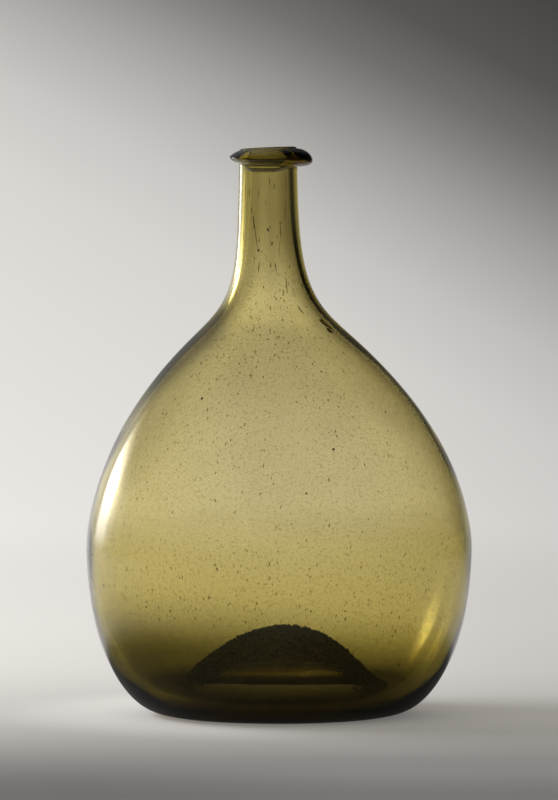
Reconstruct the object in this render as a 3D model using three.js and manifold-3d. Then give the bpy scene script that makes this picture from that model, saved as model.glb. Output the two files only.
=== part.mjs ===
// A free-blown bottle of olive-green glass, in millimetres, +Z up.
// It stands on its foot ring with the origin under the middle of the belly, and the photographed
// side faces -Y. Three bits of glass were joined hot: the blown vessel, the trail wound round its
// mouth, and the rough ring that the pontil rod left under the kick. Nothing on it moves.
import * as THREE from "three";
import { mergeVertices } from "three/addons/utils/BufferGeometryUtils.js";
import Module from "manifold-3d";

// Heights of the vessel, each measured from the one before
const bellyHeight = 73.2; // table to the widest part
const shoulderRise = 87; // belly to the shoulder, where the outline slopes at 45 degrees
const neckRise = 77.8; // shoulder to the straight neck
const neckStraight = 12.1; // straight neck up to the mouth
const mouthTilt = 0.6; // the mouth is this much higher on its right side, and lower on its left

// Radii of the vessel's outside
const bellyRadius = 85.2;
const shoulderRadius = 42.3;
const neckRadius = 13.1;
const footRadius = 48.1; // middle of the ring that it stands on
const footFlat = 2.4; // width of the worn flat under that ring
const footRound = 2.6; // rounding between the flat and the kick

// Walls, thick where the gather was thick and thin where it was blown out
const neckWall = 3.7;
const shoulderWall = 3;
const bellyWall = 2.8;
const valleyFloor = 8.5; // glass between the table and the lowest point inside
const valleyOutset = 5; // that lowest point lies this far outside the foot ring
const kickHeight = 38; // crown of the pushed-up base, inside
const crownWall = 11; // glass at the crown

// How full the outline is between its stations, as shares of the stretch's own width or height
const heelSpread = 0.48;
const heelRise = 0.378;
const bodyFullness = 0.133;
const shoulderFullness = 0.893;
const flareFullness = 0.694;
const neckFullness = 0.759;
const heelInsideDrop = 0.45; // the inside draws in higher up than the outside, so the heel is thick
const heelInsideSpread = 0.4;
const kickUnderSpread = 0.59;
const kickUnderRise = 0.6;
const kickOverFoot = 0.07; // how far the kick's upper side runs level before it climbs
const kickOverSpread = 0.58;

// Irregularities of work done by eye
const neckLean = 4.8; // the neck stands this far to the left of the belly
const leanStart = 17; // it starts to lean this far above the belly
const leanEnd = 9; // and stands upright again from this far below its straight part
const kickOffset = 3; // the kick's crown stands this far to the right

// Trail of glass round the mouth
const trailReach = 4.3; // how far it stands out from the neck
const trailRise = 5.15; // from its ridge up to the mouth's rim
const trailDrop = 3.1; // from its ridge down to its lower edge
const trailSwell = 2.45; // it stands out this much more on the right, where its ends overlap
const ridgeTilt = 0.75; // its ridge is this much lower on the right side, and higher on the left
const rimProud = 0.8; // the mouth's rounded rim stands this much above it
const tailRadius = 1.7; // the lapped tail under it, at its thickest
const tailSweep = 112; // degrees that the tail runs round the front
const tailMiddle = -99; // direction of its thickest part, in degrees from +X
const sharpAbove = 1.25; // form of its section on the left, where 1 is a bevel and 3 nearly square
const bluntAbove = 1.8; // the same on the right
const sharpBelow = 1.65; // form of its underside on the left
const bluntBelow = 2.2; // and on the right
const fusedGap = 0.3; // bits of glass drawn as separate solids stay this far apart

// Scar of the pontil rod
const scarOuterRadius = 20;
const scarInnerRadius = 7;
const scarThickness = 1.5;
const scarGap = 0.35; // it hangs this far under the kick, measured straight down
const scarRaggedness = 0.9; // how far its edge wanders in and out

// How finely round things are drawn
const stepsRound = 60;
const stepsAlong = 8; // on each stretch of an outline

const shoulderHeight = bellyHeight + shoulderRise;
const neckHeight = shoulderHeight + neckRise;
const mouthHeight = neckHeight + neckStraight;
const ridgeHeight = mouthHeight - trailRise;

const { degToRad, lerp, smoothstep } = THREE.MathUtils;
const wasm = await Module();
wasm.setup();

// A smooth stretch of outline between two stations, which leaves and arrives along the handles.
function stretch(from, fromHandle, toHandle, to, steps = stepsAlong) {
  const curve = new THREE.CubicBezierCurve(
    new THREE.Vector2(...from),
    new THREE.Vector2(...fromHandle),
    new THREE.Vector2(...toHandle),
    new THREE.Vector2(...to),
  );
  return curve.getPoints(steps);
}

// One side of the wall from the belly up to the straight neck, outside or inside.
function sideAbove(belly, shoulder, neck) {
  const bodyHandle = bodyFullness * (shoulder[1] - belly[1]);
  const slopeHandle = shoulderFullness * (belly[0] - shoulder[0]);
  const flareHandle = flareFullness * (shoulder[0] - neck[0]);
  const neckHandle = neckFullness * (neck[1] - shoulder[1]);
  return [
    ...stretch(
      belly,
      [belly[0], belly[1] + bodyHandle],
      [shoulder[0] + slopeHandle, shoulder[1] - slopeHandle],
      shoulder,
    ),
    ...stretch(
      shoulder,
      [shoulder[0] - flareHandle, shoulder[1] + flareHandle],
      [neck[0], neck[1] - neckHandle],
      neck,
    ),
  ];
}

// Underside of the kick, from its crown to the foot ring.
const kickMouth = footRadius - footFlat / 2 - footRound;
const kickUnder = new THREE.CubicBezierCurve(
  new THREE.Vector2(0, kickHeight - crownWall),
  new THREE.Vector2(kickUnderSpread * kickMouth, kickHeight - crownWall),
  new THREE.Vector2(kickMouth, kickUnderRise * (kickHeight - crownWall)),
  new THREE.Vector2(kickMouth, footRound),
);

// Outside of the vessel, from under the crown to the mouth.
function outside() {
  const footInside = footRadius - footFlat / 2;
  const footOutside = footRadius + footFlat / 2;
  const footArc = new THREE.EllipseCurve(
    footInside, footRound, footRound, footRound, Math.PI, 1.5 * Math.PI,
  );
  const belly = [bellyRadius, bellyHeight];
  return [
    ...kickUnder.getPoints(stepsAlong + 2),
    ...footArc.getPoints(4),
    ...stretch(
      [footOutside, 0],
      [footOutside + heelSpread * (bellyRadius - footOutside), 0],
      [bellyRadius, heelRise * bellyHeight],
      belly,
      stepsAlong + 2,
    ),
    ...sideAbove(belly, [shoulderRadius, shoulderHeight], [neckRadius, neckHeight]),
  ];
}

// Rounded rim of the mouth, from its outer edge over the top to the bore.
function rim() {
  const round = neckWall / 2;
  const arc = new THREE.EllipseCurve(
    neckRadius - round, mouthHeight - round, round, round, 0, Math.PI,
  );
  return arc.getPoints(6);
}

// Inside of the vessel, from the straight neck down to the top of the crown.
function inside() {
  const diagonal = shoulderWall * Math.SQRT1_2;
  const belly = [bellyRadius - bellyWall, bellyHeight];
  const shoulder = [shoulderRadius - diagonal, shoulderHeight - diagonal];
  const neck = [neckRadius - neckWall, neckHeight];
  const valley = [footRadius + valleyOutset, valleyFloor];
  return [
    ...sideAbove(belly, shoulder, neck).reverse(),
    ...stretch(
      belly,
      [belly[0], belly[1] - heelInsideDrop * (belly[1] - valley[1])],
      [valley[0] + heelInsideSpread * (belly[0] - valley[0]), valley[1]],
      valley,
      stepsAlong + 2,
    ),
    ...stretch(
      valley,
      [(1 - kickOverFoot) * valley[0], valley[1]],
      [kickOverSpread * valley[0], kickHeight],
      [0, kickHeight],
      stepsAlong + 2,
    ),
  ];
}

// How far a point at this radius and height was blown off the common axis, along +X.
function offAxis(radius, height) {
  if (height < bellyHeight) return kickOffset * (1 - smoothstep(radius, 0, footRadius));
  return -neckLean * smoothstep(height, bellyHeight + leanStart, neckHeight - leanEnd);
}

// Moves the points of a round body off the axis, and tilts the mouth.
function blownByEye(geometry) {
  const position = geometry.getAttribute("position");
  for (let i = 0; i < position.count; i++) {
    const [x, y, z] = [position.getX(i), position.getY(i), position.getZ(i)];
    const tilt = (mouthTilt * smoothstep(z, neckHeight, mouthHeight) * x) / neckRadius;
    position.setXYZ(i, x + offAxis(Math.hypot(x, y), z), y, z + tilt);
  }
  return geometry;
}

function withoutRepeats(points) {
  return points.filter((p, i) => i === 0 || p.distanceTo(points[i - 1]) > 1e-6);
}

function blownVessel() {
  const profile = withoutRepeats([...outside(), ...rim(), ...inside()]);
  return blownByEye(new THREE.LatheGeometry(profile, stepsRound).rotateX(Math.PI / 2));
}

// A closed ring or tube whose sections are loops of points. An open one gets a flat cap at each end.
function loftSections(sections, closed) {
  const sides = sections[0].length;
  const index = [];
  for (let i = 0; i < sections.length - (closed ? 0 : 1); i++) {
    const next = (i + 1) % sections.length;
    for (let j = 0; j < sides; j++) {
      const k = (j + 1) % sides;
      index.push(i * sides + j, next * sides + j, next * sides + k);
      index.push(i * sides + j, next * sides + k, i * sides + k);
    }
  }
  const last = (sections.length - 1) * sides;
  for (let j = 1; j < sides - 1 && !closed; j++) {
    index.push(0, j, j + 1);
    index.push(last, last + j + 1, last + j);
  }
  return new THREE.BufferGeometry()
    .setAttribute("position", new THREE.Float32BufferAttribute(sections.flat(2), 3))
    .setIndex(index);
}

function solidOf(geometry) {
  const bare = geometry.clone();
  bare.deleteAttribute("normal");
  bare.deleteAttribute("uv");
  const merged = mergeVertices(bare, 1e-4);
  return new wasm.Manifold(
    new wasm.Mesh({
      numProp: 3,
      vertProperties: merged.getAttribute("position").array,
      triVerts: new Uint32Array(merged.index.array),
    }),
  );
}

function geometryOf(solid) {
  const mesh = solid.getMesh();
  return new THREE.BufferGeometry()
    .setAttribute("position", new THREE.BufferAttribute(mesh.vertProperties, 3))
    .setIndex(new THREE.BufferAttribute(mesh.triVerts, 1));
}

// Main turn of the trail: a sharp tooled ridge on the left that grows into a blunt roll on the right.
function trailTurn() {
  const bore = neckRadius + fusedGap;
  const sectionSteps = 12;
  const sections = [];
  for (let i = 0; i < stepsRound; i++) {
    const turn = (2 * Math.PI * i) / stepsRound;
    const right = (1 + Math.cos(turn)) / 2;
    const reach = trailReach - fusedGap + trailSwell * right;
    const ridge = -ridgeTilt * Math.cos(turn);
    const above = trailRise - rimProud + mouthTilt * Math.cos(turn) - ridge;
    const section = [];
    for (let j = 0; j <= sectionSteps; j++) {
      const lift = Math.PI * (j / sectionSteps - 0.5);
      const bluntness = lift > 0
        ? lerp(sharpAbove, bluntAbove, right)
        : lerp(sharpBelow, bluntBelow, right * right);
      const out = Math.max(Math.cos(lift), 0) ** (2 / bluntness);
      const up = Math.sign(lift) * Math.abs(Math.sin(lift)) ** (2 / bluntness);
      const radius = bore + reach * out;
      const height = ridge + up * (lift > 0 ? above : trailDrop);
      section.push([radius * Math.cos(turn), radius * Math.sin(turn), height]);
    }
    sections.push(section);
  }
  return loftSections(sections, true);
}

// Tail of the trail, which laps under the main turn across the front and thins out at both ends.
function trailTail() {
  const steps = 20;
  const sides = 10;
  const sections = [];
  for (let i = 0; i <= steps; i++) {
    const share = i / steps;
    const turn = degToRad(tailMiddle + tailSweep * (share - 0.5));
    const swell = Math.sin(Math.PI * share) ** 0.7;
    const thickness = 0.25 * tailRadius + 0.75 * tailRadius * swell;
    const height = -trailDrop + 0.35 * tailRadius - 0.8 * tailRadius * swell;
    const section = [];
    for (let j = 0; j < sides; j++) {
      const around = (2 * Math.PI * j) / sides;
      const radius = neckRadius + fusedGap + thickness * Math.cos(around);
      section.push([
        radius * Math.cos(turn),
        radius * Math.sin(turn),
        height + thickness * Math.sin(around),
      ]);
    }
    sections.push(section);
  }
  return loftSections(sections, false);
}

function lipTrail() {
  const neckRoom = new THREE.CylinderGeometry(
    neckRadius + fusedGap, neckRadius + fusedGap, 4 * trailReach, stepsRound,
  ).rotateX(Math.PI / 2).rotateZ(Math.PI / 2);
  const trail = solidOf(trailTurn()).add(solidOf(trailTail())).subtract(solidOf(neckRoom));
  return geometryOf(trail);
}

// Rough ring under the crown, which follows the kick's underside and has a ragged outline.
function pontilScar() {
  const across = 5;
  const sections = [];
  for (let i = 0; i < stepsRound; i++) {
    const turn = (2 * Math.PI * i) / stepsRound;
    const wander = scarRaggedness * (0.6 * Math.sin(3 * turn + 1) + 0.4 * Math.sin(8 * turn));
    const inner = scarInnerRadius + wander / 2;
    const outer = scarOuterRadius + wander;
    const fused = [];
    const broken = [];
    for (let j = 0; j <= across; j++) {
      const share = j / across;
      const radius = inner + (outer - inner) * share;
      const height = undersideAt(radius);
      const fade = Math.sin(Math.PI * share) ** 0.5;
      const chip = 0.25 * Math.sin(5 * turn + 4 * share) + 0.15 * Math.sin(11 * turn - 3 * share);
      const depth = scarThickness * (0.3 + fade * (0.7 + chip));
      const spot = (drop) => [
        radius * Math.cos(turn) + offAxis(radius, height),
        radius * Math.sin(turn),
        height - drop,
      ];
      fused.push(spot(scarGap));
      broken.push(spot(scarGap + depth));
    }
    sections.push([...broken, ...fused.reverse()]);
  }
  return loftSections(sections, true);
}

// Height of the kick's underside at a radius, by halving the stretch of curve that holds it.
function undersideAt(radius) {
  let low = 0;
  let high = 1;
  for (let i = 0; i < 40; i++) {
    const middle = (low + high) / 2;
    if (kickUnder.getPoint(middle).x < radius) low = middle;
    else high = middle;
  }
  return kickUnder.getPoint(low).y;
}

function glass(color, roughness) {
  return new THREE.MeshPhysicalMaterial({
    color, roughness, metalness: 0, transmission: 0.9, ior: 1.52, thickness: bellyWall,
  });
}

function piece(name, geometry, material) {
  const mesh = new THREE.Mesh(geometry, material);
  mesh.name = name;
  return mesh;
}

const bottle = new THREE.Group();
const vessel = piece("vessel", blownVessel(), glass(0xb3a268, 0.05));
const trail = piece("lip_trail", lipTrail(), glass(0x8a7a3c, 0.08));
trail.position.set(-neckLean, 0, ridgeHeight);
const scar = piece("pontil_scar", pontilScar(), glass(0x3a331c, 0.7));
bottle.add(vessel, trail, scar);

export default bottle;
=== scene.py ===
import math
import random
import bmesh
import bpy
from mathutils import Matrix, Vector


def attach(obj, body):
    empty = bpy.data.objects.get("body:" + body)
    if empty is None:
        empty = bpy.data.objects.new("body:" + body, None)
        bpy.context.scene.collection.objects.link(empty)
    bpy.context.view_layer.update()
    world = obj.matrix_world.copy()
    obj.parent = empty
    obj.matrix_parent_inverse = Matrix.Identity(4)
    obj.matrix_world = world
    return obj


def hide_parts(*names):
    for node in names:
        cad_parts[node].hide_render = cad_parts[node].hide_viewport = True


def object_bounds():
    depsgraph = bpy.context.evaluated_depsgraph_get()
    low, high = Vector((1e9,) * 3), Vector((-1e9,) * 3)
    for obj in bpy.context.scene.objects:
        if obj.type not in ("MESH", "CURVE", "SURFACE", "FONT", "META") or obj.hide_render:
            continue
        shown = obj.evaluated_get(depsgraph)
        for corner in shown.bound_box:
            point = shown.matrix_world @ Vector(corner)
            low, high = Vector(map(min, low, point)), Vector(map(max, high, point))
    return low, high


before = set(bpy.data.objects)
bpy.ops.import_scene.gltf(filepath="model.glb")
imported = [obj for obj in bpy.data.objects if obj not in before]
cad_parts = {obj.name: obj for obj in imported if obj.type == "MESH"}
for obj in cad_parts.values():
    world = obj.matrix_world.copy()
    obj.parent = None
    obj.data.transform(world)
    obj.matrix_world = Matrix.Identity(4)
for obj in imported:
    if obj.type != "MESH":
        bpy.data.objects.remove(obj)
cadLow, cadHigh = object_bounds()
scene = bpy.context.scene
print("frame loaded")

# A free-blown bottle of olive-green glass. Lengths are in metres, and the bottle stands at the
# origin with its photographed side towards -Y, as in the frame.


def feed(tree, value, socket):  # links an output to the socket, or writes a plain value in it
    if isinstance(value, bpy.types.NodeSocket):
        tree.links.new(value, socket)
    else:
        socket.default_value = value


def addNode(tree, kind, sockets=None, **settings):
    node = tree.nodes.new(kind)
    for name, value in settings.items():
        setattr(node, name, value)
    for name, value in (sockets or {}).items():
        feed(tree, value, node.inputs[name])
    return node


def calc(tree, operation, *values):  # one Math node
    return addNode(tree, "ShaderNodeMath", dict(enumerate(values)), operation=operation).outputs[0]


def calcVector(tree, operation, *values, scale=None):  # one Vector Math node
    node = addNode(tree, "ShaderNodeVectorMath", dict(enumerate(values)), operation=operation)
    if scale is not None:
        feed(tree, scale, node.inputs["Scale"])
    return node.outputs["Value" if operation == "LENGTH" else "Vector"]


def remap(tree, value, low, high, fromValue=0.0, toValue=1.0, kind="LINEAR"):
    limits = dict(enumerate((value, low, high, fromValue, toValue)))
    return addNode(tree, "ShaderNodeMapRange", limits, interpolation_type=kind).outputs[0]


def smoothStep(tree, *values):
    return remap(tree, *values, kind="SMOOTHSTEP")


def axesOf(tree, vector):
    return addNode(tree, "ShaderNodeSeparateXYZ", {"Vector": vector}).outputs


def vectorOf(tree, x=0.0, y=0.0, z=0.0):
    return addNode(tree, "ShaderNodeCombineXYZ", {"X": x, "Y": y, "Z": z}).outputs[0]


def newTree(name, geometry, floats, integers=()):
    tree = bpy.data.node_groups.new(name, "GeometryNodeTree")
    tree.interface.new_socket("Geometry", in_out="OUTPUT", socket_type="NodeSocketGeometry")
    for kind, labels in (("Geometry", (geometry,)), ("Float", floats), ("Int", integers),
                         ("Material", ("Material",))):
        for label in labels:
            tree.interface.new_socket(label, in_out="INPUT", socket_type="NodeSocket" + kind)
    return tree, tree.nodes.new("NodeGroupInput").outputs


def position(tree):
    return tree.nodes.new("GeometryNodeInputPosition").outputs[0]


def moved(tree, geometry, offset):
    return addNode(tree, "GeometryNodeSetPosition", {"Geometry": geometry, "Offset": offset}).outputs[0]


def thicklyOf(tree):  # the value that skin() keeps at each point
    return addNode(tree, "GeometryNodeInputNamedAttribute", {"Name": "thickly"}, data_type="FLOAT").outputs[0]


def randomValue(tree, least, most, seed):  # each draw in a tree has a seed of its own
    node = addNode(tree, "FunctionNodeRandomValue", {"Seed": seed})
    limits = [s for s in node.inputs if s.name in ("Min", "Max") and s.type == "VALUE"]
    for socket, value in zip(limits, (least, most)):
        feed(tree, value, socket)
    return [s for s in node.outputs if s.type == "VALUE"][0]


def finishTree(tree, geometry, material):
    real = addNode(tree, "GeometryNodeRealizeInstances", {"Geometry": geometry})
    named = addNode(tree, "GeometryNodeSetMaterial", {"Geometry": real.outputs[0], "Material": material})
    tree.links.new(named.outputs[0], tree.nodes.new("NodeGroupOutput").inputs[0])
    return tree


def putInScene(name, data):
    holder = bpy.data.objects.new(name, data)
    scene.collection.objects.link(holder)
    return holder


def newPiece(name, mesh):
    print(name, len(mesh.polygons), "faces")
    return putInScene(name, mesh)


def grow(name, source, tree, values):  # runs a tree on a mesh and keeps the result as a plain mesh
    holder = putInScene(name + "Source", source)
    modifier = holder.modifiers.new("nodes", "NODES")
    modifier.node_group = tree
    for item in tree.interface.items_tree:
        if item.in_out == "INPUT" and item.name in values:
            modifier[item.identifier] = values[item.name]
    evaluated = holder.evaluated_get(bpy.context.evaluated_depsgraph_get())
    mesh = bpy.data.meshes.new_from_object(evaluated)
    bpy.data.objects.remove(holder)
    mesh.name = name
    return newPiece(name, mesh)


def skin(name, rings, thickly, tube=False):  # joins rings of points, with a value at each point
    count = len(rings[0])
    faces = []
    for ring in range(len(rings) if tube else len(rings) - 1):
        low, high = ring * count, (ring + 1) % len(rings) * count
        for i in range(count):
            nextOne = (i + 1) % count
            if tube:  # the last ring meets the first, and the rings run the other way round
                faces.append((low + i, high + i, high + nextOne, low + nextOne))
            else:
                faces.append((low + i, low + nextOne, high + nextOne, high + i))
    mesh = bpy.data.meshes.new(name)
    mesh.from_pydata([point for ring in rings for point in ring], [], faces)
    kept = mesh.attributes.new("thickly", "FLOAT", "POINT")
    for i, value in enumerate(thickly):
        kept.data[i].value = value
    return mesh


# Outline of the glass, as points (radius, height)

glassBody = {
    "bellyRadius": (cadHigh.x - cadLow.x) / 2,
    "bellyHeight": 0.0732,
    "shoulderRadius": 0.0423,
    "shoulderHeight": 0.1602,
    "neckRadius": 0.0131,
    "neckHeight": 0.238,
    "mouthHeight": 0.2501,
    "mouthTilt": 0.0006,  # the right side of the mouth is this much higher than its middle
    "footRadius": 0.0481,
    "footFlat": 0.0024,
    "footRound": 0.0026,
    "heelSpread": 0.48,  # how full each stretch of the outline is
    "heelRise": 0.378,
    "bodyFullness": 0.133,
    "shoulderFullness": 0.893,
    "flareFullness": 0.694,
    "neckFullness": 0.759,
    "neckWall": 0.0037,
    "wallByHeight": ((0, 0.008), (0.019, 0.0058), (0.033, 0.0051), (0.05, 0.0044), (0.066, 0.0033),
                     (0.085, 0.0026), (0.11, 0.0024), (0.168, 0.0029), (0.238, 0.0037)),
    "easing": 60,  # how far the bends of the outline are smoothed
    "wallEasing": 220,  # and the changes of the wall
    "kickHeight": 0.0362,
    "crownWall": 0.0092,
    "underSpread": 0.59,  # how full the kick's underside is at its crown
    "underFlank": 0.8,  # and at its flank, as shares of its mouth and height
    "underRise": 0.45,
    "overSpread": 0.58,  # how full its upper side is at its crown
    "overFlank": 0.8,  # and at its foot
    "neckLean": 0.0048,
    "leanFrom": 0.0902,
    "leanTo": 0.229,
    "kickOffset": 0.003,
    "waviness": 0.0003,  # how far the walls wander from a true turning
    "waveSize": 0.045,
    "waveHeights": (0.002, 0.02),  # the foot is flat, and the waves grow between these heights
    "seed": 3.0,
    "stepsRound": 180,
    "steps": {"under": 40, "foot": 8, "heel": 48, "body": 56, "flare": 40, "neck": 14, "rim": 16,
              "bore": 12, "over": 44},  # along each stretch of the outline
}

lipTrail = {
    "reach": 0.0043,
    "rise": 0.00515,
    "drop": 0.0031,
    "swell": 0.00245,  # further reach on the right, where the ends overlap
    "ridgeTilt": 0.00075,
    "sharpAbove": 1.25,  # 1 is a straight bevel, 3 nearly square
    "bluntAbove": 1.8,
    "sharpBelow": 1.65,
    "bluntBelow": 2.2,
    "tailRadius": 0.0017,
    "tailDrop": 0.00387,  # middle of the tail below the ridge
    "tailMiddle": -99,  # degrees from +X
    "tailSweep": 112,
    "tailWhole": 0.35,  # share of the sweep where it has its full size
    "rootDepth": 0.0003,  # its heart lies this far inside the neck's wall
    "steps": 72,  # from its lower root to its upper one
}


def bezierRun(start, startHandle, endHandle, end, steps):  # leaves out the last point
    weights = ((1, 3, 3, 1), (start, startHandle, endHandle, end))
    points = []
    for i in range(steps):
        t = i / steps
        shares = [n * (1 - t) ** (3 - k) * t**k for k, n in enumerate(weights[0])]
        points.append(tuple(sum(s * p[axis] for s, p in zip(shares, weights[1])) for axis in (0, 1)))
    return points


def arcRun(middle, radius, startAngle, endAngle, steps):
    points = []
    for i in range(steps):
        angle = math.radians(startAngle + (endAngle - startAngle) * i / steps)
        points.append((middle[0] + radius * math.cos(angle), middle[1] + radius * math.sin(angle)))
    return points


def uprightRun(radius, start, end, steps):
    return [(radius, start * (1 - i / steps) + end * (i / steps)) for i in range(steps)]


def eased(points, times):  # each point drawn towards its neighbours, apart from the ends
    for _ in range(times):
        points = [points[0]] + [
            tuple((p + 2 * q + r) / 4 for p, q, r in zip(*points[i - 1:i + 2]))
            for i in range(1, len(points) - 1)] + [points[-1]]
    return points


def sideOutline():  # the outside from the foot up to the trail, with its bends eased
    b = glassBody
    steps = b["steps"]
    foot = (b["footRadius"] + b["footFlat"] / 2, 0)
    belly = (b["bellyRadius"], b["bellyHeight"])
    shoulder = (b["shoulderRadius"], b["shoulderHeight"])
    neck = (b["neckRadius"], b["neckHeight"])
    bodyHandle = b["bodyFullness"] * (shoulder[1] - belly[1])
    slopeHandle = b["shoulderFullness"] * (belly[0] - shoulder[0])
    flareHandle = b["flareFullness"] * (shoulder[0] - neck[0])
    neckHandle = b["neckFullness"] * (neck[1] - shoulder[1])
    points = bezierRun(foot, (foot[0] + b["heelSpread"] * (belly[0] - foot[0]), 0),
                       (belly[0], b["heelRise"] * belly[1]), belly, steps["heel"])
    points += bezierRun(belly, (belly[0], belly[1] + bodyHandle),
                        (shoulder[0] + slopeHandle, shoulder[1] - slopeHandle), shoulder, steps["body"])
    points += bezierRun(shoulder, (shoulder[0] - flareHandle, shoulder[1] + flareHandle),
                        (neck[0], neck[1] - neckHandle), neck, steps["flare"])
    points.append(neck)
    once = eased(points, b["easing"])
    twice = eased(once, b["easing"])
    return [tuple(2 * p - q for p, q in zip(*pair)) for pair in zip(once, twice)]


side = sideOutline()


def radiusAt(height):  # outside of the glass above the belly
    for (lowRadius, low), (highRadius, high) in zip(side, side[1:]):
        if low <= height <= high and height > glassBody["bellyHeight"]:
            return lowRadius + (highRadius - lowRadius) * (height - low) / (high - low)
    return glassBody["neckRadius"]


def wallAt(height):
    stops = glassBody["wallByHeight"]
    for (low, wallLow), (high, wallHigh) in zip(stops, stops[1:]):
        if height <= high:
            break
    return wallLow + (wallHigh - wallLow) * min(1, (height - low) / (high - low))


def kickUnder(steps):  # underside of the kick, from its crown to the foot
    b = glassBody
    crown = b["kickHeight"] - b["crownWall"]
    mouth = b["footRadius"] - b["footFlat"] / 2 - b["footRound"]
    return bezierRun((0, crown), (b["underSpread"] * mouth, crown),
                     (b["underFlank"] * mouth, b["underRise"] * crown), (mouth, b["footRound"]), steps)


def kickOver(valley, steps):  # its upper side, from the lowest point inside up to the crown
    b = glassBody
    top = b["kickHeight"]
    return bezierRun(valley, (b["overFlank"] * valley[0], valley[1]),
                     (b["overSpread"] * valley[0], top), (0, top), steps)


def heightAt(run, radius):  # height of a run of points at a radius
    for (inRadius, inHeight), (outRadius, outHeight) in zip(run, run[1:]):
        if min(inRadius, outRadius) <= radius <= max(inRadius, outRadius):
            share = (radius - inRadius) / ((outRadius - inRadius) or 1)
            return inHeight + (outHeight - inHeight) * share
    return min(run[0][1], run[-1][1])


def easedShare(value):
    value = min(max(value, 0), 1)
    return value * value * (3 - 2 * value)


def offAxis(radius, height):  # how far a point of the glass stands to the right of the axis
    b = glassBody
    if height < b["leanFrom"]:
        return b["kickOffset"] * (1 - easedShare(radius / b["footRadius"]))
    return -b["neckLean"] * easedShare((height - b["leanFrom"]) / (b["leanTo"] - b["leanFrom"]))


def turnedPoint(radius, turn, height):
    return (offAxis(radius, height) + radius * math.cos(turn), radius * math.sin(turn), height)


def trailDepth(lift, right, tail, height):  # from the trail's heart out to its surface
    t = lipTrail
    across, along = abs(math.cos(lift)), abs(math.sin(lift))
    reach = t["reach"] + t["swell"] * right + t["rootDepth"]
    if lift > 0:
        form = t["sharpAbove"] + (t["bluntAbove"] - t["sharpAbove"]) * right
    else:
        form = t["sharpBelow"] + (t["bluntBelow"] - t["sharpBelow"]) * right**2
    depth = ((across / reach) ** form + (along / height) ** form) ** (-1 / form)
    if not tail:
        return depth
    toMiddle = t["rootDepth"] * math.cos(lift) - t["tailDrop"] * math.sin(lift)
    inside = toMiddle**2 - t["rootDepth"] ** 2 - t["tailDrop"] ** 2 + t["tailRadius"] ** 2
    return max(depth, toMiddle + math.sqrt(inside)) if inside > 0 and toMiddle > 0 else depth


def bottleOutline(right, tail):  # right: 0 on the left of the mouth to 1 on its right
    b, t = glassBody, lipTrail
    steps = b["steps"]
    turn = 2 * right - 1
    rimRound = b["neckWall"] / 2
    rimMiddle = b["neckRadius"] - rimRound
    rimHeight = b["mouthHeight"] + b["mouthTilt"] * turn * rimMiddle / b["neckRadius"] - rimRound
    heart = (b["neckRadius"] - t["rootDepth"],
             b["mouthHeight"] - t["rise"] - t["ridgeTilt"] * turn)
    capAngle = math.acos((heart[0] - rimMiddle) / rimRound)
    capHeight = rimHeight + rimRound * math.sin(capAngle)
    trail = []
    for i in range(t["steps"] + 1):
        lift = math.radians(180 * i / t["steps"] - 90)
        depth = trailDepth(lift, right, tail, capHeight - heart[1] if lift > 0 else t["drop"])
        radius = heart[0] + depth * math.cos(lift)
        trail.append((max(radius, b["neckRadius"]) if lift < 0 else radius,
                      heart[1] + depth * math.sin(lift)))
    footInside = b["footRadius"] - b["footFlat"] / 2
    rows = kickUnder(steps["under"])
    rows += arcRun((footInside, b["footRound"]), b["footRound"], 180, 270, steps["foot"])
    rows += [(footInside, 0)] + side
    rows += uprightRun(b["neckRadius"], b["neckHeight"], trail[0][1], steps["neck"])[1:] + trail
    rows += arcRun((rimMiddle, rimHeight), rimRound, math.degrees(capAngle), 180, steps["rim"])[1:]
    rows += uprightRun(b["neckRadius"] - b["neckWall"], rimHeight, b["neckHeight"], steps["bore"])
    walls = eased([(wallAt(height),) for radius, height in side], b["wallEasing"])
    for i in range(len(side) - 1, -1, -1):
        before, after = side[max(i - 1, 0)], side[min(i + 1, len(side) - 1)]
        run, rise = after[0] - before[0], after[1] - before[1]
        length, wall = math.hypot(run, rise), walls[i][0]
        rows.append((side[i][0] - wall * rise / length, side[i][1] + wall * run / length))
    rows += kickOver(rows.pop(), steps["over"])
    rows.append((0, b["kickHeight"]))
    return [Vector((radius, 0, height)) for radius, height in rows]


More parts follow.
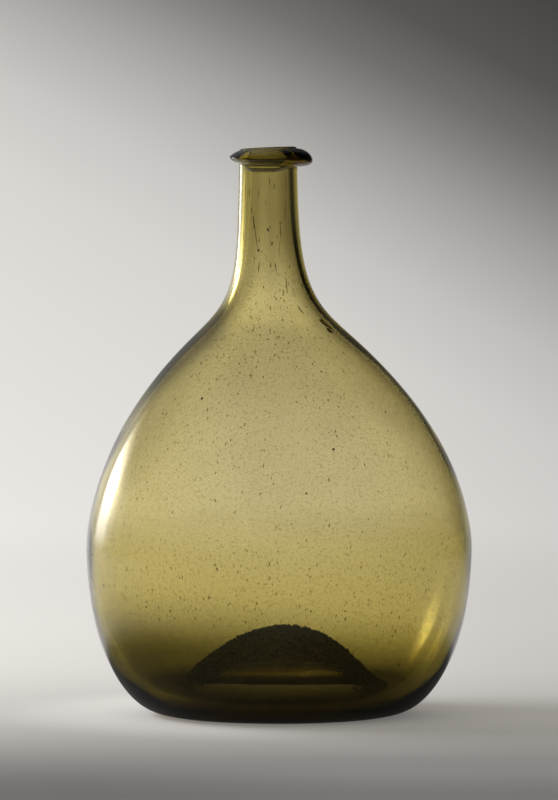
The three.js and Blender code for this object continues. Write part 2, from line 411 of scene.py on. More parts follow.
def turnedGlassTree():
    # Turns outlines into glass: the left one swings into the right one round the axis, and the
    # tailed one takes over across the tail's sweep. Then the whole is leant and made wavy.
    tree, given = newTree("turnedGlass", "Outlines", (
        "Tail Middle", "Tail Half Sweep", "Tail Whole", "Lean", "Lean From", "Lean To", "Kick Offset",
        "Kick Radius", "Waviness", "Wave Size", "Wave Low", "Wave High", "Seed"), ("Rows", "Steps Round"))
    grid = addNode(tree, "GeometryNodeMeshGrid", {
        "Size X": 1, "Size Y": 1, "Vertices X": calc(tree, "ADD", given["Steps Round"], 1),
        "Vertices Y": given["Rows"]})
    here = position(tree)
    x, y, z = axesOf(tree, here)
    turn = calc(tree, "MULTIPLY", calc(tree, "ADD", x, 0.5), math.tau)
    lastRow = calc(tree, "SUBTRACT", given["Rows"], 1)
    row = calc(tree, "ROUND", calc(tree, "MULTIPLY", calc(tree, "ADD", y, 0.5), lastRow))
    outlines = []
    for chain in range(3):  # left, right and tailed
        index = calc(tree, "ADD", row, calc(tree, "MULTIPLY", given["Rows"], chain))
        sample = addNode(tree, "GeometryNodeSampleIndex", {"Geometry": given["Outlines"], "Index": index},
                         data_type="FLOAT_VECTOR")
        tree.links.new(here, sample.inputs["Value"])
        outlines.append(sample.outputs[0])
    right = calc(tree, "MULTIPLY", calc(tree, "ADD", calc(tree, "COSINE", turn), 1), 0.5)
    offTail = calc(tree, "ABSOLUTE", calc(tree, "SUBTRACT", turn, given["Tail Middle"]))
    whole = calc(tree, "MULTIPLY", given["Tail Half Sweep"], given["Tail Whole"])
    tail = smoothStep(tree, offTail, given["Tail Half Sweep"], whole)
    outline = outlines[0]
    for share, other in ((right, outlines[1]), (tail, outlines[2])):
        outline = addNode(tree, "ShaderNodeMix", {0: share, 4: outline, 5: other},
                          data_type="VECTOR").outputs[1]
    turned = addNode(tree, "ShaderNodeVectorRotate", {"Vector": outline, "Angle": turn},
                     rotation_type="Z_AXIS")
    shaped = addNode(tree, "GeometryNodeSetPosition",
                     {"Geometry": grid.outputs["Mesh"], "Position": turned.outputs[0]})
    joined = addNode(tree, "GeometryNodeMergeByDistance", {"Geometry": shaped.outputs[0], "Distance": 1e-6})
    # Lean of the neck and offset of the kick
    lean = calc(tree, "MULTIPLY", given["Lean"],
                smoothStep(tree, z, given["Lean From"], given["Lean To"], 0, -1))
    low = calc(tree, "LESS_THAN", z, given["Lean From"])
    radius = calcVector(tree, "LENGTH", vectorOf(tree, x, y))
    offset = smoothStep(tree, radius, 0, given["Kick Radius"], given["Kick Offset"], 0)
    push = calc(tree, "MULTIPLY", low, offset)
    leant = moved(tree, joined.outputs[0], vectorOf(tree, calc(tree, "ADD", lean, push)))
    # Waviness goes into the glass only, so the bottle keeps its size, and leaves the foot flat
    noise = addNode(tree, "ShaderNodeTexNoise", {
        "Vector": here, "Scale": calc(tree, "DIVIDE", 1, given["Wave Size"]), "Detail": 1.0,
        "W": given["Seed"]}, noise_dimensions="4D")
    above = smoothStep(tree, z, given["Wave Low"], given["Wave High"])
    depth = calc(tree, "MULTIPLY", calc(tree, "MULTIPLY", noise.outputs[0], above), given["Waviness"])
    inward = calcVector(tree, "SCALE", tree.nodes.new("GeometryNodeInputNormal").outputs[0],
                        scale=calc(tree, "MULTIPLY", depth, -1))
    smooth = addNode(tree, "GeometryNodeSetShadeSmooth", {"Geometry": moved(tree, leant, inward)})
    return finishTree(tree, smooth.outputs[0], given["Material"])


def makeBottle(material):
    b, t = glassBody, lipTrail
    tailTurn = math.radians(t["tailMiddle"] % 360)
    outlines = [bottleOutline(0, 0), bottleOutline(1, 0),
                bottleOutline((1 + math.cos(tailTurn)) / 2, 1)]
    source = bpy.data.meshes.new("outlines")
    source.from_pydata([point for outline in outlines for point in outline], [], [])
    return grow("vessel_and_trail", source, turnedGlassTree(), {
        "Rows": len(outlines[0]), "Steps Round": b["stepsRound"], "Tail Middle": tailTurn,
        "Tail Half Sweep": math.radians(t["tailSweep"] / 2), "Tail Whole": t["tailWhole"],
        "Lean": b["neckLean"], "Lean From": b["leanFrom"], "Lean To": b["leanTo"],
        "Kick Offset": b["kickOffset"], "Kick Radius": b["footRadius"], "Waviness": b["waviness"],
        "Wave Size": b["waveSize"], "Wave Low": b["waveHeights"][0], "Wave High": b["waveHeights"][1],
        "Seed": b["seed"], "Material": material})


# Grit, stones and air bubbles, scattered over sheets that follow the glass

kickGrit = {
    "density": 1.5e6,  # grains on a square metre
    "sizes": (0.0004, 0.0016),
    "lengths": (0.8, 1.4),  # as shares of their size
    "rarity": 2,  # 1 makes all sizes as common, 3 makes large ones rare
    "proud": 0.5,  # they lie up to this share of their size to either side of the sheet
    "twist": 3.1,  # radians that they turn at most
    "seed": 4,
    "bandDrop": 0.0048,  # it reaches this far down from the kick's outline, as seen from the front
    "bandFade": 0.0028,  # and thins out over this much more
    "bandSlope": 0.15,  # it reaches further down on the right
    "rightMore": 3,  # and is thicker there, by this share for each metre
    "reach": 0.049,
    "thinFrom": 0.85,  # share of this reach where it starts to thin out
    "hole": 0.0001,  # radius left open at the crown
    "steps": 40,
}

seeds = {
    "density": 75000,
    "sizes": (0.00022, 0.0007),
    "lengths": (1.1, 3.5),
    "rarity": 6.5,
    "proud": 0.0,
    "twist": 0.25,
    "seed": 7,
    "elsewhere": 0.55,  # share of the density away from the places where they gather
    "gatherings": ((0.165, 0.03, 0.8), (0.045, 0.02, 0.9)),  # height, reach and share of each
}

stones = {
    "density": 260,
    "sizes": (0.0005, 0.0014),
    "lengths": (0.8, 1.6),
    "rarity": 3,
    "proud": 0.0,
    "twist": 3.1,
    "seed": 12,
}

lumpBreadths = (0.7, 1.2)  # as shares of their size
sheetSteps = 72  # round the axis
wallStride = 4  # the sheet in the wall takes each fourth point of the outline


def turnedSheet(name, rows, thickness):  # a sheet that says how thickly to strew it
    rings = [[turnedPoint(radius, math.tau * i / sheetSteps, height) for i in range(sheetSteps)]
             for radius, height in rows]
    return skin(name, rings, [thickness(*point) for ring in rings for point in ring])


def strewnTree():
    # Strews small lumps over a sheet. They lie along its steepest line, more or less twisted.
    tree, given = newTree("strewn", "Sheet", (
        "Density", "Least Size", "Most Size", "Least Length", "Most Length", "Rarity", "Proud",
        "Twist"), ("Seed",))
    strewn = addNode(tree, "GeometryNodeDistributePointsOnFaces", {
        "Mesh": given["Sheet"], "Seed": given["Seed"],
        "Density": calc(tree, "MULTIPLY", given["Density"], thicklyOf(tree))})
    normal = strewn.outputs["Normal"]
    around = calcVector(tree, "CROSS_PRODUCT", (0, 0, 1), normal)
    along = calcVector(tree, "CROSS_PRODUCT", normal, around)
    aligned = addNode(tree, "FunctionNodeAlignRotationToVector", {"Vector": along}, axis="Z")
    back = calc(tree, "MULTIPLY", given["Twist"], -1)
    twist = vectorOf(tree, randomValue(tree, back, given["Twist"], 1),
                     randomValue(tree, back, given["Twist"], 2))
    turned = addNode(tree, "FunctionNodeRotateRotation", {
        "Rotation": aligned.outputs[0],
        "Rotate By": addNode(tree, "FunctionNodeEulerToRotation", {"Euler": twist}).outputs[0],
    }, rotation_space="LOCAL")
    chance = calc(tree, "POWER", randomValue(tree, 0.0, 1.0, 3), given["Rarity"])
    span = calc(tree, "SUBTRACT", given["Most Size"], given["Least Size"])
    size = calc(tree, "MULTIPLY_ADD", chance, span, given["Least Size"])
    length = calc(tree, "MULTIPLY", size, randomValue(tree, given["Least Length"], given["Most Length"], 5))
    breadth = calc(tree, "MULTIPLY", size, randomValue(tree, *lumpBreadths, 6))
    lump = addNode(tree, "GeometryNodeMeshIcoSphere", {"Radius": 0.5, "Subdivisions": 1})
    proud = calc(tree, "MULTIPLY", calc(tree, "MULTIPLY", size, given["Proud"]),
                 randomValue(tree, -1.0, 1.0, 7))
    lifted = moved(tree, strewn.outputs["Points"], calcVector(tree, "SCALE", normal, scale=proud))
    placed = addNode(tree, "GeometryNodeInstanceOnPoints", {
        "Points": lifted, "Instance": lump.outputs["Mesh"], "Rotation": turned.outputs[0],
        "Scale": vectorOf(tree, size, breadth, length)})
    return finishTree(tree, placed.outputs[0], given["Material"])


def strew(name, sheet, settings, material):
    values = {label: settings[label.lower()] for label in ("Density", "Rarity", "Proud", "Twist", "Seed")}
    values["Least Size"], values["Most Size"] = settings["sizes"]
    values["Least Length"], values["Most Length"] = settings["lengths"]
    return grow(name, sheet, strewing, {**values, "Material": material})


def kickSheet():
    b, g = glassBody, kickGrit
    valley = (b["footRadius"] + b["footFlat"] / 2, b["wallByHeight"][0][1])
    over = kickOver(valley, g["steps"]) + [(g["hole"], b["kickHeight"])]

    def thickness(x, y, height):
        right = x - b["kickOffset"]
        drop = g["bandDrop"] + g["bandSlope"] * max(right, 0)
        below = heightAt(over, min(abs(right), valley[0])) - height - drop
        ends = (math.hypot(right, y) / g["reach"] - g["thinFrom"]) / (1 - g["thinFrom"])
        return (1 - easedShare(below / g["bandFade"])) * (1 - easedShare(ends)) * (1 + g["rightMore"] * right)

    return turnedSheet("kickSheet", over, thickness)


def wallSheet(thickness):  # through the middle of the wall
    rows = []
    for i in range(wallStride, len(side) - 1, wallStride):
        run, rise = side[i + 1][0] - side[i - 1][0], side[i + 1][1] - side[i - 1][1]
        inward = wallAt(side[i][1]) / 2 / math.hypot(run, rise)
        rows.append((side[i][0] - inward * rise, side[i][1] + inward * run))
    return turnedSheet("wallSheet", rows, thickness)


def seedThickness(x, y, height):  # bubbles gather on the shoulder and near the base
    share = seeds["elsewhere"]
    for middle, reach, more in seeds["gatherings"]:
        share += more * math.exp(-((height - middle) / reach) ** 2)
    return share


# Single flaws in the front wall: how far to the right, height, width, length, and lean to the left
# of the upper end in degrees

blisters = (
    (0.0203, 0.1722, 0.0026, 0.0075, 36),  # the blister on the right of the shoulder
    (0.0220, 0.1697, 0.0032, 0.0034, 20),
    (0.0188, 0.174, 0.0018, 0.0022, 10),
    (-0.0101, 0.2125, 0.0003, 0.0155, 10),  # the drawn-out bubble in the neck
    (-0.0088, 0.205, 0.001, 0.0012, 0),
    (0.0094, 0.1785, 0.0006, 0.0044, 20),
)

streaks = {
    "count": 26,
    "seed": 5,
    "heights": (0.178, 0.236),
    "widths": (0.00018, 0.0004),
    "lengths": (0.002, 0.0085),
    "spread": 0.75,  # how far to the sides, as a share of the neck's radius
    "lean": 7,  # degrees to either side
}

markDepth = 0.0016  # the most that a flaw measures through the wall
slopeReach = 0.0005  # the wall's slope is read this far above and below it


def neckStreaks():
    s = streaks
    dice = random.Random(s["seed"])
    marks = []
    for _ in range(s["count"]):
        height = dice.uniform(*s["heights"])
        radius = radiusAt(height)
        across = offAxis(radius, height) + dice.uniform(-s["spread"], s["spread"]) * radius
        marks.append((across, height, dice.uniform(*s["widths"]), dice.uniform(*s["lengths"]),
                      dice.uniform(-s["lean"], s["lean"])))
    return marks


def makeMarks(name, marks, material):
    mesh = bpy.data.meshes.new(name)
    form = bmesh.new()
    for across, height, width, length, lean in marks:
        radius = radiusAt(height) - wallAt(height) / 2
        toRight = across - offAxis(radius, height)
        depth = -math.sqrt(radius**2 - toRight**2)
        slope = (radiusAt(height + slopeReach) - radiusAt(height - slopeReach)) / (2 * slopeReach)
        outward = Vector((toRight / radius, depth / radius, -slope)).normalized()
        aside = Vector((0, 0, 1)).cross(outward).normalized()
        along = outward.cross(aside)
        turned = Matrix((aside, outward, along)).transposed() @ Matrix.Rotation(math.radians(-lean), 3, "Y")
        scaled = turned @ Matrix.Diagonal((width / 2, min(width, markDepth) / 2, length / 2))
        place = Matrix.Translation((across, depth, height)) @ scaled.to_4x4()
        bmesh.ops.create_icosphere(form, subdivisions=2, radius=1, matrix=place)
    bmesh.ops.recalc_face_normals(form, faces=form.faces)
    for face in form.faces:
        face.smooth = True
    form.to_mesh(mesh)
    form.free()
    mesh.materials.append(material)
    return newPiece(name, mesh)


# Rough ring that the pontil rod left under the kick

scarRing = {
    "outerRadius": 0.02,
    "innerRadius": 0.007,
    "thickness": 0.0015,
    "edge": 0.2,  # share of the thickness at its edges
    "gap": 0.0002,
    "raggedness": 0.0009,
    "bulges": ((0.6, 3, 1), (0.4, 8, 0)),  # share of it, number round the ring and shift
    "stepsRound": 180,
    "stepsAcross": 14,
    "kickSteps": 60,  # of the kick's underside, which it follows
    "chips": 0.0005,  # depth of the broken surface's unevenness
    "chipSize": 0.0022,
}


def scarTree():
    tree, given = newTree("brokenRing", "Ring", ("Chips", "Chip Size"))
    noise = addNode(tree, "ShaderNodeTexNoise", {
        "Vector": position(tree), "Scale": calc(tree, "DIVIDE", 1, given["Chip Size"]), "Detail": 3.0})
    centred = calc(tree, "MULTIPLY", calc(tree, "SUBTRACT", noise.outputs[0], 0.5), 2)  # from -1 to 1
    depth = calc(tree, "MULTIPLY", centred, calc(tree, "MULTIPLY", given["Chips"], thicklyOf(tree)))
    return finishTree(tree, moved(tree, given["Ring"], vectorOf(tree, z=depth)), given["Material"])


def makeScar(material):
    s = scarRing
    under = kickUnder(s["kickSteps"])
    rings, broken = [], []
    across = s["stepsAcross"]
    for i in range(s["stepsRound"]):
        turn = math.tau * i / s["stepsRound"]
        wander = s["raggedness"] * sum(share * math.sin(count * turn + shift)
                                       for share, count, shift in s["bulges"])
        inner, outer = s["innerRadius"] + wander / 2, s["outerRadius"] + wander
        ring = []
        for j in range(2 * across):  # out along the lower side, and back along the upper one
            share = j / across if j <= across else 2 - j / across
            radius = inner + (outer - inner) * share
            height = heightAt(under, radius) - s["gap"]
            if j < across:
                fade = math.sqrt(math.sin(math.pi * share))
                height -= s["thickness"] * (s["edge"] + (1 - s["edge"]) * fade)
            ring.append(turnedPoint(radius, turn, height))
            broken.append(1.0 if 0 < j < across else 0.0)
        rings.append(ring)
    return grow("scar_ring", skin("ring", rings, broken, tube=True), scarTree(), {
        "Chips": s["chips"], "Chip Size": s["chipSize"], "Material": material})


# Materials


def newMaterial(name):
    material = bpy.data.materials.new(name)
    material.use_nodes = True
    tree = material.node_tree
    tree.nodes.clear()
    return material, tree, tree.nodes.new("ShaderNodeOutputMaterial").inputs


def objectPlace(tree):
    return tree.nodes.new("ShaderNodeTexCoord").outputs["Object"]


def mixColour(tree, share, first, second):
    return addNode(tree, "ShaderNodeMix", {0: share, 6: first, 7: second}, data_type="RGBA").outputs[2]


oliveGlass = {
    "ior": 1.52,
    "absorption": (0.8085, 0.7532, 0.149),  # what is not absorbed of each colour
    "density": 235,
    "surfaceTint": (0.985, 0.944, 0.93),
    "speckSize": 0.0012,  # faint specks of dirt all over
    "speckLimits": (0.6, 0.72),  # they are where the noise is over these levels
    "speckColour": (0.78, 0.72, 0.58),
    "shadowTint": (0.7, 0.69, 0.65),
    "bottomShadeColour": (0.236, 0.217, 0.167),  # painted shade that darkens the wall towards the bottom
    "bottomShadeHeights": (0.045, 0.008),  # from none to all of it
    "bottomShadeSlope": 0.12,  # it lies this much higher on the left
    "kickRadii": (0.03, 0.045),  # and the kick inside these is left without it
    "footShadeColour": (0.05, 0.045, 0.03),  # deeper painted shade round the foot, where the bottle meets the floor
    "footShadeHeights": (0.009, 0.003),
    "neckShadeColour": (0.729, 0.689, 0.614),  # painted shade on the neck
    "neckShadeHeights": (0.18, 0.225),
    "lipShadeColour": (0.33, 0.315, 0.26),  # deeper painted shade on the lip
    "lipShadeHeights": (0.239, 0.244),
}


def makeOliveGlass():
    g = oliveGlass
    material, tree, output = newMaterial("oliveGlass")
    place = objectPlace(tree)
    x, y, z = axesOf(tree, place)
    # where the painted shade towards the bottom falls: higher on the left, and not on the kick
    onWall = smoothStep(tree, calcVector(tree, "LENGTH", vectorOf(tree, x, y)), *g["kickRadii"])
    low = smoothStep(tree, calc(tree, "MULTIPLY_ADD", x, g["bottomShadeSlope"], z), *g["bottomShadeHeights"])
    noise = addNode(tree, "ShaderNodeTexNoise", {"Vector": place, "Scale": 1 / g["speckSize"], "Detail": 1.0})
    # faint dirt specks all over, and painted shade on the neck, on the lip, towards the bottom and round the
    # foot
    specksAndShade = (*g["surfaceTint"], 1)
    for share, colour in (
            (smoothStep(tree, noise.outputs[0], *g["speckLimits"]), g["speckColour"]),
            (smoothStep(tree, z, *g["neckShadeHeights"]), g["neckShadeColour"]),
            (smoothStep(tree, z, *g["lipShadeHeights"]), g["lipShadeColour"]),
            (calc(tree, "MULTIPLY", low, onWall), g["bottomShadeColour"]),
            (smoothStep(tree, z, *g["footShadeHeights"]), g["footShadeColour"])):
        specksAndShade = mixColour(tree, share, specksAndShade, (*colour, 1))
    glass = addNode(tree, "ShaderNodeBsdfPrincipled", {
        "Base Color": specksAndShade, "Roughness": 0.0, "IOR": g["ior"], "Transmission Weight": 1.0})
    clear = addNode(tree, "ShaderNodeBsdfTransparent", {"Color": (*g["shadowTint"], 1)})
    path = tree.nodes.new("ShaderNodeLightPath")
    surface = addNode(tree, "ShaderNodeMixShader", {
        0: path.outputs["Is Shadow Ray"], 1: glass.outputs[0], 2: clear.outputs[0]})
    tree.links.new(surface.outputs[0], output["Surface"])
    volume = addNode(tree, "ShaderNodeVolumeAbsorption", {
        "Color": (*g["absorption"], 1), "Density": g["density"]})
    tree.links.new(volume.outputs[0], output["Volume"])
    return material


roughStuff = {
    "grit": {"dark": (0.004, 0.0035, 0.0015), "pale": (0.03, 0.025, 0.012), "patch": 0.0008,
             "roughness": 0.75},
    "stone": {"dark": (0.03, 0.022, 0.01), "pale": (0.1, 0.075, 0.035), "patch": 0.001,
              "roughness": 0.6},
    "brokenGlass": {"dark": (0.03, 0.025, 0.01), "pale": (0.2, 0.17, 0.1), "patch": 0.0012,
                    "roughness": 0.35},
}
mottling = (0.4, 0.65)  # levels of the noise between which the dark turns pale

# The dark tints of the bubbles are painted shade, for the dark rims that bending light gives them
bubbleGlass = {
    "seedGlass": {"colour": (0.42, 0.36, 0.18), "ior": 1.15, "roughness": 0.05},
    "markGlass": {"colour": (0.22, 0.18, 0.07), "ior": 1.33, "roughness": 0.05},
}


def makeRough(name):  # dull, mottled stuff
    s = roughStuff[name]
    material, tree, output = newMaterial(name)
    noise = addNode(tree, "ShaderNodeTexNoise",
                    {"Vector": objectPlace(tree), "Scale": 1 / s["patch"], "Detail": 2.0})
    share = smoothStep(tree, noise.outputs[0], *mottling)
    colour = mixColour(tree, share, (*s["dark"], 1), (*s["pale"], 1))
    body = addNode(tree, "ShaderNodeBsdfPrincipled", {"Base Color": colour, "Roughness": s["roughness"]})
    tree.links.new(body.outputs[0], output["Surface"])
    return material


def makeBubbleGlass(name):
    s = bubbleGlass[name]
    material, tree, output = newMaterial(name)
    body = addNode(tree, "ShaderNodeBsdfPrincipled", {
        "Base Color": (*s["colour"], 1), "Roughness": s["roughness"], "IOR": s["ior"],
        "Transmission Weight": 1.0})
    tree.links.new(body.outputs[0], output["Surface"])
    return material


# Stage, lamps and camera

stage = {
    "floorDrop": 0.0002,
    "floorReach": 2.2,
    "fade": (0.2, 1.3),  # the floor fades into the backdrop between these distances
    "floorColour": (1.0, 0.985, 0.96),
    "frontPaintedLight": 0.3,  # painted light: the floor is this much paler at the front on the right
    "frontDepths": (-0.19, -0.28),  # from none to all of it, here and in the pairs below
    "frontSides": (-0.1, 0.06),
    "rightPaintedShade": 0.1,  # painted shade: and this much darker at the back on the right
    "backDepths": (-0.1, 0.05),
    "backSides": (0, 0.15),
    "basePaintedLight": 0.42,  # painted light: and this much paler close to the bottle, making up for its shadow
    "basePaintedLightRight": 0.1,  # or this much on its right
    "baseSides": (0.07, -0.03),  # it changes between these places
    "baseReach": (0.14, 0.06),
    "mirrorShade": 0.85,  # the outside of the glass mirrors the floor near it this much darker
    "mirrorReach": (0.13, 0.21),  # this shade ends between these distances
    "backdropTint": (1.0, 0.975, 0.935),
    "cornerSlope": 0.5,  # how steeply the backdrop's shade rises to the left
    "cornerHeight": -0.66,  # its height in the middle, in degrees
    "cornerStart": -30.0,  # it slopes between these directions, in degrees to the right, as all below
    "cornerEnd": 3.0,
    "roomShade": 0.75,  # how much darker the room is than the backdrop, as the glass mirrors it
    "roomSides": (60, 100),  # to either side
    "leftRise": 0.8,  # the glass sees the backdrop's shade rise this steeply on the far left
    "leftSides": (-12, -30),
    "rightRise": 0.5,  # and this steeply from the middle to rightEnd
    "rightEnd": 3,
    "panelGlow": 9.0,
    "edgeGlow": 0.16,  # how much paler the left is as the outside of the glass mirrors it
    "edgeStart": (-62, -50),
    "edgeEnd": (4, -6),
    "plainLight": 0.36,  # what it throws on dull surfaces
    "lampTint": (1, 0.985, 0.96),
}

# Painted shade of the floor's paper, darker towards the front, by the distance behind the bottle
floorShade = ((-0.6, 0.14), (-0.345, 0.16), (-0.287, 0.215), (-0.227, 0.3), (-0.164, 0.41), (-0.1, 0.52),
              (-0.03, 0.625), (0.065, 0.71), (0.22, 0.785), (0.5, 0.82))
# Brightness of the backdrop by the distance below the shaded corner, in degrees
backdropShade = ((-2.2, 0.06), (-1.3, 0.1), (-0.8, 0.17), (-0.5, 0.24), (0.0, 0.38), (0.35, 0.47),
                 (0.8, 0.575), (1.5, 0.67), (2.4, 0.72), (3.2, 0.755), (4.0, 0.79), (4.8, 0.84))
# and by the direction, in degrees to the right of straight back
backdropSides = ((-180, 0.55), (-100, 0.5), (-60, 0.8), (-30, 1.0), (-3, 1.03), (-1, 1.01), (0.4, 1.0),
                 (2.1, 0.9), (5, 0.84), (9, 0.5), (16, 0.22), (50, 0.2), (100, 0.5), (180, 0.6))
# The same as the glass sees it, by the height and by the direction
glassShade = ((-60, 0.3), (-20, 0.5), (-12, 0.64), (-8, 0.75), (-5.5, 0.78), (-4, 0.75), (-3.2, 0.74),
              (-2.5, 0.69), (-1.2, 0.6), (0, 0.565), (1.5, 0.44), (3, 0.29), (5, 0.15), (8, 0.08),
              (18, 0.06), (30, 0.13), (60, 0.13))
glassSides = ((-180, 0.6), (-100, 0.55), (-75, 0.75), (-30, 1.15), (-12, 1.05), (-6, 0.97), (-3.5, 1.16),
              (-2, 1.15), (0, 1), (1, 0.975), (2, 0.94), (3, 0.91), (4, 0.86), (6, 0.78), (8, 0.68),
              (12, 0.58), (16, 0.57), (24, 0.48), (32, 0.15), (40, 0.06), (60, 0.06), (100, 0.4), (180, 0.6))
# Strength of the glowing panel by the direction, and by the height in degrees
panelSides = ((-70, 0), (-60, 0.06), (-53, 0.3), (-48, 1), (-38, 1), (-33, 0))
panelRises = ((-5, 0), (-3, 0.01), (0, 0.06), (2.5, 0.18), (5, 0.42), (8, 0.9), (12, 1), (15, 0.42),
              (17.5, 0.2), (20, 0.06), (24, 0.01), (28, 0))
# and by the height in metres, for the near panel that the outside of the glass mirrors
panelHeights = ((-0.02, 0), (0.033, 0.04), (0.083, 0.2), (0.12, 0.35), (0.16, 0.45), (0.208, 0.9),
                (0.273, 1), (0.323, 0.4), (0.367, 0.15), (0.41, 0.04), (0.47, 0))


def rampOf(tree, value, stops):  # a value read off straight lines between the stops
    low, high = stops[0][0], stops[-1][0]
    ramp = addNode(tree, "ShaderNodeValToRGB", {"Fac": remap(tree, value, low, high)})
    line = ramp.color_ramp
    while len(line.elements) < len(stops):
        line.elements.new(0.5)
    for element, (at, level) in zip(line.elements, stops):
        element.position = (at - low) / (high - low)
        element.color = (level, level, level, 1)
    return ramp.outputs["Color"]


def mirrorOnly(tree):  # 1 for what the outside of the glass mirrors, and 0 for what is seen through it
    path = tree.nodes.new("ShaderNodeLightPath")
    direct = calc(tree, "SUBTRACT", 1, path.outputs["Is Transmission Ray"])
    return calc(tree, "MULTIPLY", path.outputs["Is Glossy Ray"], direct)


def hideFrom(holder, *rays):
    for ray in rays:
        setattr(holder, "visible_" + ray, False)


def makeFloor():
    s = stage
    reach, drop = s["floorReach"], -s["floorDrop"]
    mesh = bpy.data.meshes.new("floor")
    corners = [(-reach, -reach, drop), (reach, -reach, drop), (reach, reach, drop), (-reach, reach, drop)]
    mesh.from_pydata(corners, [], [(0, 1, 2, 3)])
    floor = putInScene("floor", mesh)
    material, tree, output = newMaterial("paleFloor")
    place = objectPlace(tree)
    x, y, _ = axesOf(tree, place)
    # Painted light and shade on the paper: paler at the front on the right, darker at the back on the right,
    # paler close to the bottle, and darker where the glass mirrors it near the bottle
    atFront = calc(tree, "MULTIPLY", smoothStep(tree, y, *s["frontDepths"]),
                   smoothStep(tree, x, *s["frontSides"], 0, s["frontPaintedLight"]))
    atBack = calc(tree, "MULTIPLY", smoothStep(tree, y, *s["backDepths"]),
                  smoothStep(tree, x, *s["backSides"], 0, s["rightPaintedShade"]))
    level = calc(tree, "SUBTRACT", calc(tree, "ADD", atFront, 1), atBack)
    distance = calcVector(tree, "LENGTH", place)
    close = smoothStep(tree, distance, *s["mirrorReach"], s["mirrorShade"], 0)
    mirrored = calc(tree, "MULTIPLY", mirrorOnly(tree), close)
    level = calc(tree, "MULTIPLY", level, calc(tree, "SUBTRACT", 1, mirrored))
    lift = smoothStep(tree, x, *s["baseSides"], s["basePaintedLightRight"], s["basePaintedLight"])
    near = smoothStep(tree, distance, *s["baseReach"])
    level = calc(tree, "MULTIPLY", level, calc(tree, "MULTIPLY_ADD", near, lift, 1))
    paper = calcVector(tree, "SCALE", rampOf(tree, y, floorShade), scale=level)
    shade = calcVector(tree, "MULTIPLY", paper, s["floorColour"])
    paint = addNode(tree, "ShaderNodeBsdfDiffuse", {"Color": shade})
    clear = tree.nodes.new("ShaderNodeBsdfTransparent")
    faded = addNode(tree, "ShaderNodeMixShader", {
        0: smoothStep(tree, distance, *s["fade"]), 1: paint.outputs[0], 2: clear.outputs[0]})
    tree.links.new(faded.outputs[0], output["Surface"])
    mesh.materials.append(material)


def makeWorld():
    s = stage
    world = bpy.data.worlds.new("studio")
    scene.world = world
    world.use_nodes = True
    tree = world.node_tree
    background = tree.nodes["Background"]
    x, y, z = axesOf(tree, tree.nodes.new("ShaderNodeTexCoord").outputs["Generated"])
    turn = calc(tree, "DEGREES", calc(tree, "ARCTAN2", x, y))
    rise = calc(tree, "DEGREES", calc(tree, "ARCSINE", z))
    sloping = addNode(tree, "ShaderNodeClamp", {
        "Value": turn, "Min": s["cornerStart"], "Max": s["cornerEnd"]})
    corner = calc(tree, "MULTIPLY_ADD", sloping.outputs[0], -s["cornerSlope"], s["cornerHeight"])
    below = calc(tree, "SUBTRACT", corner, rise)
    plain = calc(tree, "MULTIPLY", rampOf(tree, below, backdropShade), rampOf(tree, turn, backdropSides))
    path = tree.nodes.new("ShaderNodeLightPath")
    sent = path.outputs["Is Transmission Ray"]
    viaGlass = calc(tree, "MAXIMUM", path.outputs["Is Glossy Ray"], sent)
    inRoom = smoothStep(tree, calc(tree, "ABSOLUTE", turn), *s["roomSides"], 0, s["roomShade"])
    dimmed = calc(tree, "SUBTRACT", 1, calc(tree, "MULTIPLY", inRoom, calc(tree, "SUBTRACT", 1, sent)))
    leftSpan = s["leftSides"][0] - s["leftSides"][1]
    farLeft = remap(tree, turn, *s["leftSides"], 0, leftSpan * s["leftRise"])
    farRight = remap(tree, turn, 0, s["rightEnd"], 0, s["rightEnd"] * s["rightRise"])
    fallen = calc(tree, "SUBTRACT", rise, calc(tree, "ADD", farLeft, farRight))
    bent = calc(tree, "MULTIPLY", rampOf(tree, fallen, glassShade), rampOf(tree, turn, glassSides))
    panel = calc(tree, "MULTIPLY", rampOf(tree, turn, panelSides), rampOf(tree, rise, panelRises))
    glow = calc(tree, "MULTIPLY", panel, calc(tree, "MULTIPLY", sent, s["panelGlow"]))
    onLeft = calc(tree, "MULTIPLY", smoothStep(tree, turn, *s["edgeStart"]),
                  smoothStep(tree, turn, *s["edgeEnd"]))
    edge = calc(tree, "MULTIPLY", mirrorOnly(tree), calc(tree, "MULTIPLY", onLeft, s["edgeGlow"]))
    lit = calc(tree, "ADD", glow, calc(tree, "MULTIPLY_ADD", bent, dimmed, edge))
    level = remap(tree, viaGlass, 0, 1, plain, lit)
    seen = calc(tree, "MAXIMUM", path.outputs["Is Camera Ray"], viaGlass)
    feed(tree, remap(tree, seen, 0, 1, s["plainLight"], level), background.inputs["Strength"])
    background.inputs["Color"].default_value = (*s["backdropTint"], 1)


nearPanel = {
    "middle": (-0.078, -0.032),  # it is bent round this point of the bottle's flank
    "distance": 0.8,
    "glow": 7.8,
    "stepsRound": 24,
}


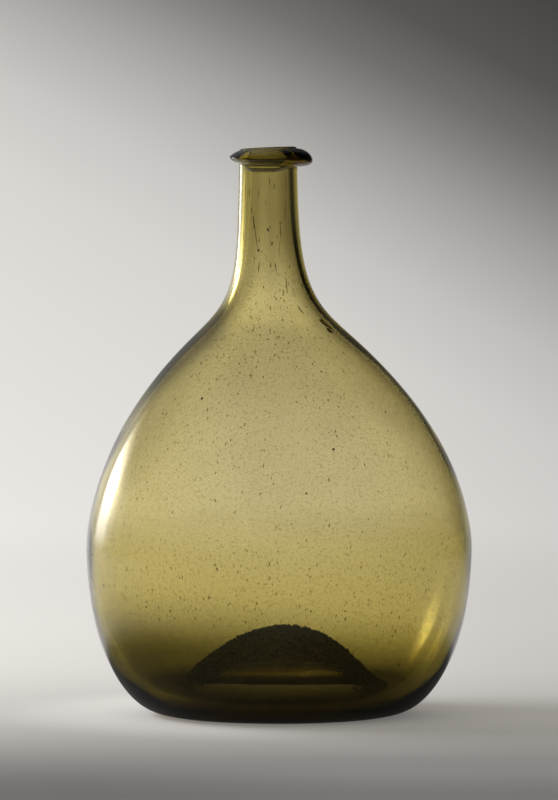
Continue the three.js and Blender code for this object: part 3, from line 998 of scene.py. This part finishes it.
def makeNearPanel():
    n = nearPanel
    first, last = panelSides[0][0], panelSides[-1][0]
    points = []
    for i in range(n["stepsRound"] + 1):
        turn = math.radians(first + (last - first) * i / n["stepsRound"])
        x = n["middle"][0] + n["distance"] * math.sin(turn)
        y = n["middle"][1] + n["distance"] * math.cos(turn)
        points += [(x, y, panelHeights[0][0]), (x, y, panelHeights[-1][0])]
    mesh = bpy.data.meshes.new("nearPanel")
    mesh.from_pydata(points, [], [(2 * i, 2 * i + 1, 2 * i + 3, 2 * i + 2) for i in range(n["stepsRound"])])
    holder = putInScene("nearPanel", mesh)
    hideFrom(holder, "camera", "diffuse", "shadow")
    material, tree, output = newMaterial("panelCloth")
    x, y, z = axesOf(tree, objectPlace(tree))
    across = calc(tree, "SUBTRACT", x, n["middle"][0])
    away = calc(tree, "SUBTRACT", y, n["middle"][1])
    turn = calc(tree, "DEGREES", calc(tree, "ARCTAN2", across, away))
    level = calc(tree, "MULTIPLY", rampOf(tree, turn, panelSides), rampOf(tree, z, panelHeights))
    strength = calc(tree, "MULTIPLY", level, calc(tree, "MULTIPLY", mirrorOnly(tree), n["glow"]))
    glow = addNode(tree, "ShaderNodeEmission", {"Color": (*stage["backdropTint"], 1), "Strength": strength})
    clear = tree.nodes.new("ShaderNodeBsdfTransparent")
    both = addNode(tree, "ShaderNodeAddShader", {0: glow.outputs[0], 1: clear.outputs[0]})
    tree.links.new(both.outputs[0], output["Surface"])
    mesh.materials.append(material)


# The lamps light the floor and the grit. What the glass mirrors is the glowing panel.
keyLamp = {
    "turn": -72,  # degrees to the right of straight back
    "rise": 32,
    "distance": 1.3,
    "width": 0.9,
    "height": 0.45,
    "power": 9.5,
    "castsShadow": True,
}

topLamp = {
    "turn": -60,
    "rise": 70,
    "distance": 1.6,
    "width": 1.2,
    "height": 1.2,
    "power": 7,
    "castsShadow": False,
}


def addLamp(name, settings):
    lamp = bpy.data.lights.new(name, "AREA")
    lamp.shape = "RECTANGLE"
    lamp.size, lamp.size_y = settings["width"], settings["height"]
    lamp.energy = settings["power"]
    lamp.color = stage["lampTint"]
    lamp.use_shadow = settings["castsShadow"]
    turn, rise = math.radians(settings["turn"]), math.radians(settings["rise"])
    away = Vector((math.sin(turn) * math.cos(rise), math.cos(turn) * math.cos(rise), math.sin(rise)))
    holder = putInScene(name, lamp)
    holder.location = away * settings["distance"]
    holder.rotation_euler = away.to_track_quat("Z", "Y").to_euler()
    hideFrom(holder, "camera", "glossy", "transmission")


cameraPlace = {
    "distance": 3.2,
    "height": 0.30045,
    "aimHeight": 0.13865,
    "lens": 327,
    "sensor": 36,
}


def makeCamera():
    c = cameraPlace
    lens = bpy.data.cameras.new("camera")
    lens.lens = c["lens"]
    lens.sensor_width = c["sensor"]
    holder = putInScene("camera", lens)
    holder.location = (0, -c["distance"], c["height"])
    aim = Vector((0, 0, c["aimHeight"])) - holder.location
    holder.rotation_euler = aim.to_track_quat("-Z", "Y").to_euler()
    scene.camera = holder


makeCamera()
makeFloor()
makeWorld()
makeNearPanel()
addLamp("keyLamp", keyLamp)
addLamp("topLamp", topLamp)
print("stage ready")

glass = makeOliveGlass()
bottle = makeBottle(glass)
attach(bottle, "root")
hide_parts("vessel", "lip_trail")
print("bottle ready")

strewing = strewnTree()
grit = strew("kick_grit", kickSheet(), kickGrit, makeRough("grit"))
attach(grit, "root")

stonePiece = strew("stones", wallSheet(lambda x, y, height: 1.0), stones, makeRough("stone"))
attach(stonePiece, "root")

seedPiece = strew("seeds", wallSheet(seedThickness), seeds, makeBubbleGlass("seedGlass"))
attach(seedPiece, "root")

markGlass = makeBubbleGlass("markGlass")
blister = makeMarks("blisters", blisters, markGlass)
streakPiece = makeMarks("streaks", neckStreaks(), markGlass)
for piece in (blister, streakPiece):
    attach(piece, "root")
print("grit, stones and bubbles ready")

scar = makeScar(makeRough("brokenGlass"))
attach(scar, "root")
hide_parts("pontil_scar")
print("scar ready")

scene.view_settings.view_transform = "Standard"
scene.cycles.max_bounces = 24
scene.cycles.transmission_bounces = 24
scene.cycles.glossy_bounces = 12
scene.cycles.transparent_max_bounces = 24
scene.cycles.caustics_refractive = False
